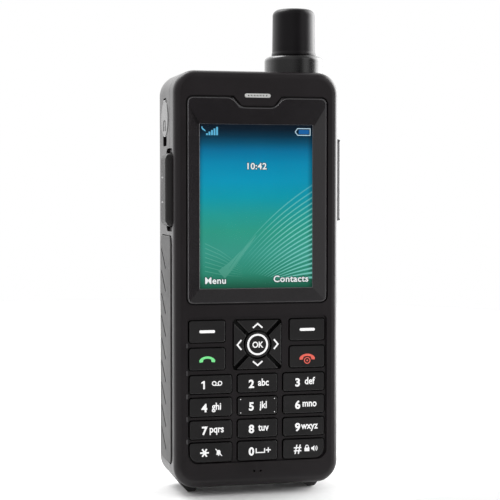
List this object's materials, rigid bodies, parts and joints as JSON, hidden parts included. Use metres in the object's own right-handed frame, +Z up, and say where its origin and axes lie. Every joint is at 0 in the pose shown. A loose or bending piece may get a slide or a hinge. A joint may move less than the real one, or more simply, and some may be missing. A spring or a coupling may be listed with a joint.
{
  "type": "satellite phone",
  "caption": "Handheld bar-shaped satellite phone with colour display, raised keypad, rubber side grips and pull-out antenna.",
  "frame": {"origin": "centre of the base between the feet, on the surface it stands on", "axes": "+Z up towards the antenna, -Y towards the display side, +X to the right seen from the front"},
  "size_m": [0.06, 0.027, 0.16],
  "materials": {
    "case_plastic": "fine satin moulding texture",
    "collar_plastic": "smooth satin gloss",
    "radome_plastic": "fine satin",
    "bezel_gloss": "gloss black",
    "window_glass": "clear hard-coated",
    "lcd": "lit display",
    "key_plastic": "satin with white printed legends",
    "soft_rubber": "fine matt rubber",
    "steel": "plain",
    "brass": "gold plated",
    "board": "solder mask",
    "inner_plastic": "plain moulded",
    "battery_wrap": "satin wrap",
    "card_plastic": "satin card"
  },
  "bodies": {
    "body": {"front_cover": "case_plastic", "rear_housing": "case_plastic", "antenna_collar": "collar_plastic", "display_bezel": "bezel_gloss", "display_window": "window_glass", "lcd_panel": "lcd", "keypad_mat": "soft_rubber", "battery_seal": "soft_rubber", "housing_seal": "soft_rubber", "grip_left": "soft_rubber", "grip_right": "soft_rubber", "corner_feet": "soft_rubber", "lcd_frame": "steel", "shield_cans": "steel", "housing_screws": "steel", "usb_socket": "steel", "sim_holder": "steel", "key_domes": "steel", "earpiece_grille": "steel", "keypad_board": "board", "main_board": "board", "audio_jack": "inner_plastic", "battery_connector": "inner_plastic", "antenna_guide": "inner_plastic", "microphone": "inner_plastic", "earpiece_speaker": "inner_plastic", "loudspeaker": "inner_plastic", "battery_pack": "battery_wrap", "sim_card": "card_plastic"},
    "key_soft_left": {"key_soft_left": "key_plastic"},
    "key_soft_right": {"key_soft_right": "key_plastic"},
    "key_call": {"key_call": "key_plastic"},
    "key_end": {"key_end": "key_plastic"},
    "key_1": {"key_1": "key_plastic"},
    "key_2": {"key_2": "key_plastic"},
    "key_3": {"key_3": "key_plastic"},
    "key_4": {"key_4": "key_plastic"},
    "key_5": {"key_5": "key_plastic"},
    "key_6": {"key_6": "key_plastic"},
    "key_7": {"key_7": "key_plastic"},
    "key_8": {"key_8": "key_plastic"},
    "key_9": {"key_9": "key_plastic"},
    "key_star": {"key_star": "key_plastic"},
    "key_0": {"key_0": "key_plastic"},
    "key_hash": {"key_hash": "key_plastic"},
    "key_up": {"key_up": "key_plastic"},
    "key_down": {"key_down": "key_plastic"},
    "key_left": {"key_left": "key_plastic"},
    "key_right": {"key_right": "key_plastic"},
    "key_select": {"key_select": "key_plastic"},
    "volume_key": {"volume_key": "soft_rubber"},
    "jack_cover": {"jack_cover": "soft_rubber"},
    "port_cover": {"port_cover": "soft_rubber"},
    "battery_cover": {"battery_cover": "case_plastic"},
    "antenna": {"antenna_radome": "radome_plastic", "antenna_core": "inner_plastic", "antenna_helix": "brass", "antenna_contact_ring": "brass"}
  },
  "joints": [
    {"name": "key_soft_left_press", "type": "slide", "parent": "body", "child": "key_soft_left", "axis": [0, 1, 0], "range_m": [0, 0.00035], "stiffness_N_per_m": 1500},
    {"name": "key_soft_right_press", "type": "slide", "parent": "body", "child": "key_soft_right", "axis": [0, 1, 0], "range_m": [0, 0.00035], "stiffness_N_per_m": 1500},
    {"name": "key_call_press", "type": "slide", "parent": "body", "child": "key_call", "axis": [0, 1, 0], "range_m": [0, 0.00035], "stiffness_N_per_m": 1500},
    {"name": "key_end_press", "type": "slide", "parent": "body", "child": "key_end", "axis": [0, 1, 0], "range_m": [0, 0.00035], "stiffness_N_per_m": 1500},
    {"name": "key_1_press", "type": "slide", "parent": "body", "child": "key_1", "axis": [0, 1, 0], "range_m": [0, 0.00035], "stiffness_N_per_m": 1500},
    {"name": "key_2_press", "type": "slide", "parent": "body", "child": "key_2", "axis": [0, 1, 0], "range_m": [0, 0.00035], "stiffness_N_per_m": 1500},
    {"name": "key_3_press", "type": "slide", "parent": "body", "child": "key_3", "axis": [0, 1, 0], "range_m": [0, 0.00035], "stiffness_N_per_m": 1500},
    {"name": "key_4_press", "type": "slide", "parent": "body", "child": "key_4", "axis": [0, 1, 0], "range_m": [0, 0.00035], "stiffness_N_per_m": 1500},
    {"name": "key_5_press", "type": "slide", "parent": "body", "child": "key_5", "axis": [0, 1, 0], "range_m": [0, 0.00035], "stiffness_N_per_m": 1500},
    {"name": "key_6_press", "type": "slide", "parent": "body", "child": "key_6", "axis": [0, 1, 0], "range_m": [0, 0.00035], "stiffness_N_per_m": 1500},
    {"name": "key_7_press", "type": "slide", "parent": "body", "child": "key_7", "axis": [0, 1, 0], "range_m": [0, 0.00035], "stiffness_N_per_m": 1500},
    {"name": "key_8_press", "type": "slide", "parent": "body", "child": "key_8", "axis": [0, 1, 0], "range_m": [0, 0.00035], "stiffness_N_per_m": 1500},
    {"name": "key_9_press", "type": "slide", "parent": "body", "child": "key_9", "axis": [0, 1, 0], "range_m": [0, 0.00035], "stiffness_N_per_m": 1500},
    {"name": "key_star_press", "type": "slide", "parent": "body", "child": "key_star", "axis": [0, 1, 0], "range_m": [0, 0.00035], "stiffness_N_per_m": 1500},
    {"name": "key_0_press", "type": "slide", "parent": "body", "child": "key_0", "axis": [0, 1, 0], "range_m": [0, 0.00035], "stiffness_N_per_m": 1500},
    {"name": "key_hash_press", "type": "slide", "parent": "body", "child": "key_hash", "axis": [0, 1, 0], "range_m": [0, 0.00035], "stiffness_N_per_m": 1500},
    {"name": "key_up_press", "type": "slide", "parent": "body", "child": "key_up", "axis": [0, 1, 0], "range_m": [0, 0.00035], "stiffness_N_per_m": 1500},
    {"name": "key_down_press", "type": "slide", "parent": "body", "child": "key_down", "axis": [0, 1, 0], "range_m": [0, 0.00035], "stiffness_N_per_m": 1500},
    {"name": "key_left_press", "type": "slide", "parent": "body", "child": "key_left", "axis": [0, 1, 0], "range_m": [0, 0.00035], "stiffness_N_per_m": 1500},
    {"name": "key_right_press", "type": "slide", "parent": "body", "child": "key_right", "axis": [0, 1, 0], "range_m": [0, 0.00035], "stiffness_N_per_m": 1500},
    {"name": "key_select_press", "type": "slide", "parent": "body", "child": "key_select", "axis": [0, 1, 0], "range_m": [0, 0.00035], "stiffness_N_per_m": 1500},
    {"name": "volume_rock", "type": "hinge", "parent": "body", "child": "volume_key", "pos_m": [-0.0259, -0.0055, 0.09945], "axis": [0, 1, 0], "range_deg": [-2, 2], "stiffness_Nm_per_rad": 1},
    {"name": "jack_cover_hinge", "type": "hinge", "parent": "body", "child": "jack_cover", "pos_m": [-0.02735, 0.0022, 0.1287], "axis": [0, 1, 0], "range_deg": [0, 95]},
    {"name": "port_cover_hinge", "type": "hinge", "parent": "body", "child": "port_cover", "pos_m": [0.0279, -0.0005, 0.10275], "axis": [0, 0, 1], "range_deg": [0, 90]},
    {"name": "antenna_pull", "type": "slide", "parent": "body", "child": "antenna", "axis": [0, 0, 1], "range_m": [0, 0.045]},
    {"name": "battery_cover_hinge", "type": "hinge", "parent": "body", "child": "battery_cover", "pos_m": [0, 0.0133, 0.0056], "axis": [-1, 0, 0], "range_deg": [0, 75]}
  ]
}
